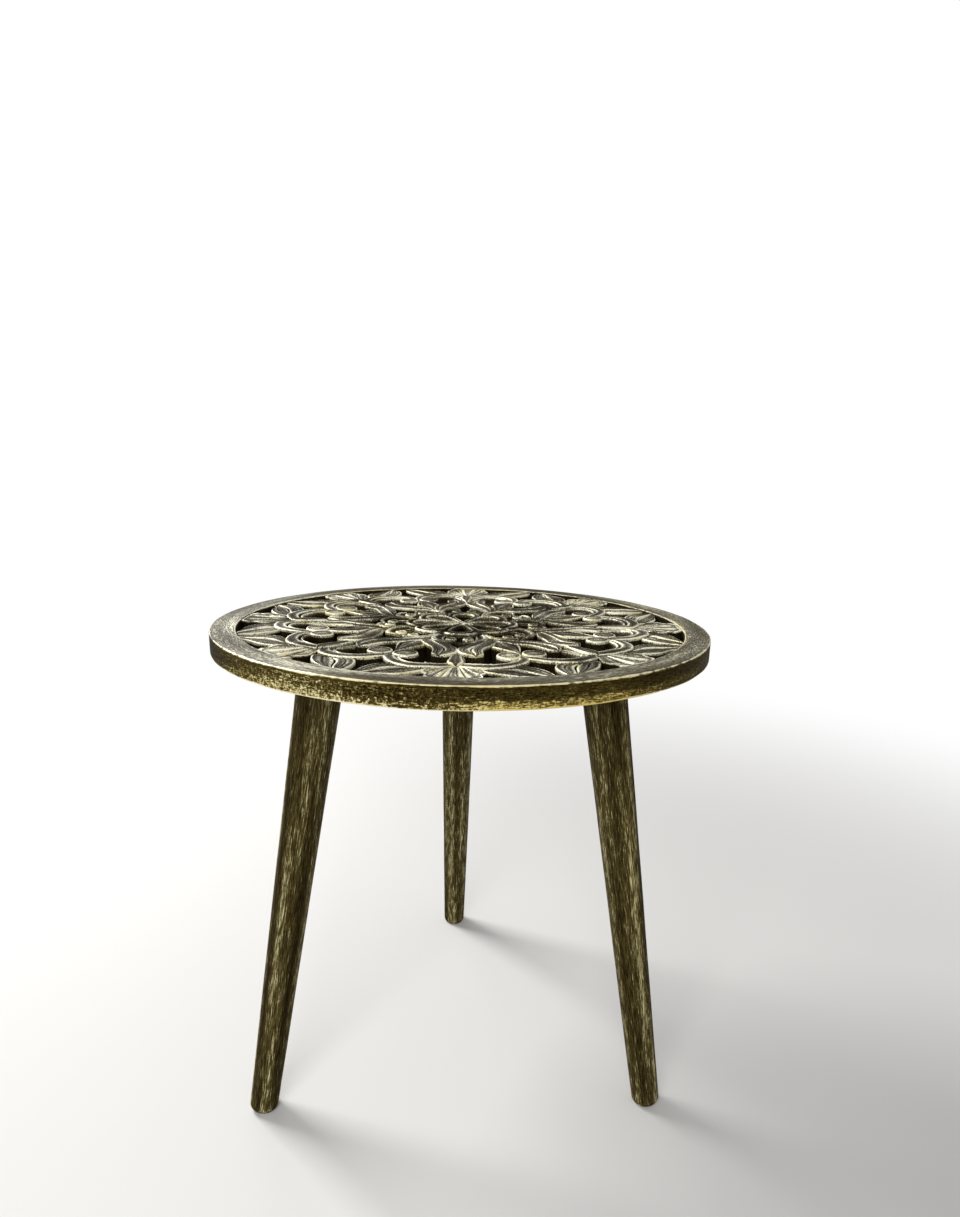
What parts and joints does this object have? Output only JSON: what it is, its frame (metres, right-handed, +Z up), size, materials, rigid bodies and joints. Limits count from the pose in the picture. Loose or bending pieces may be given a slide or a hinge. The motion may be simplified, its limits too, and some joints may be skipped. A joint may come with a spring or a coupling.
{
  "type": "round side table",
  "caption": "Round side table with a carved openwork top in a plain rim, on splayed tapered legs that screw into blocks under the top.",
  "frame": {"origin": "on the floor under the centre of the top", "axes": "+Z up; one leg stands towards +Y, so -Y is the front between the other two legs"},
  "size_m": [0.45, 0.45, 0.45],
  "materials": {
    "rim_finish": "antique brass rubbed over dark brown, worn at the edges",
    "carving_finish": "antique brass on the crests, near black in the depths",
    "leg_finish": "dark olive brown with brass rubbed along the grain",
    "block_wood": "dark stained, matte",
    "plain_wood": "bare beech",
    "plain_steel": "zinc plated"
  },
  "bodies": {
    "top": {"rim_ring": "rim_finish", "carved_panel": "carving_finish", "panel_dowels": "plain_wood", "left_leg_block": "block_wood", "left_threaded_insert": "plain_steel", "left_block_screws": "plain_steel", "right_leg_block": "block_wood", "right_threaded_insert": "plain_steel", "right_block_screws": "plain_steel", "back_leg_block": "block_wood", "back_threaded_insert": "plain_steel", "back_block_screws": "plain_steel"},
    "left_bolt": {"left_hanger_bolt": "plain_steel"},
    "left_leg": {"left_leg": "leg_finish"},
    "right_bolt": {"right_hanger_bolt": "plain_steel"},
    "right_leg": {"right_leg": "leg_finish"},
    "back_bolt": {"back_hanger_bolt": "plain_steel"},
    "back_leg": {"back_leg": "leg_finish"}
  },
  "joints": [
    {"name": "left_leg_draw", "type": "slide", "parent": "top", "child": "left_bolt", "axis": [-0.1462, -0.0844, -0.9856], "range_m": [0, 0.01375]},
    {"name": "left_leg_turn", "type": "hinge", "parent": "left_bolt", "child": "left_leg", "pos_m": [-0.12171, -0.07027, 0.41426], "axis": [-0.1462, -0.0844, -0.9856], "range_deg": [0, 3960]},
    {"name": "right_leg_draw", "type": "slide", "parent": "top", "child": "right_bolt", "axis": [0.1462, -0.0844, -0.9856], "range_m": [0, 0.01375]},
    {"name": "right_leg_turn", "type": "hinge", "parent": "right_bolt", "child": "right_leg", "pos_m": [0.12171, -0.07027, 0.41426], "axis": [0.1462, -0.0844, -0.9856], "range_deg": [0, 3960]},
    {"name": "back_leg_draw", "type": "slide", "parent": "top", "child": "back_bolt", "axis": [0, 0.1688, -0.9856], "range_m": [0, 0.01375]},
    {"name": "back_leg_turn", "type": "hinge", "parent": "back_bolt", "child": "back_leg", "pos_m": [0, 0.14054, 0.41426], "axis": [0, 0.1688, -0.9856], "range_deg": [0, 3960]}
  ],
  "couplings": [
    {"joint": "left_leg_draw", "follows": "left_leg_turn", "m_per_rad": 0.00019894},
    {"joint": "right_leg_draw", "follows": "right_leg_turn", "m_per_rad": 0.00019894},
    {"joint": "back_leg_draw", "follows": "back_leg_turn", "m_per_rad": 0.00019894}
  ]
}
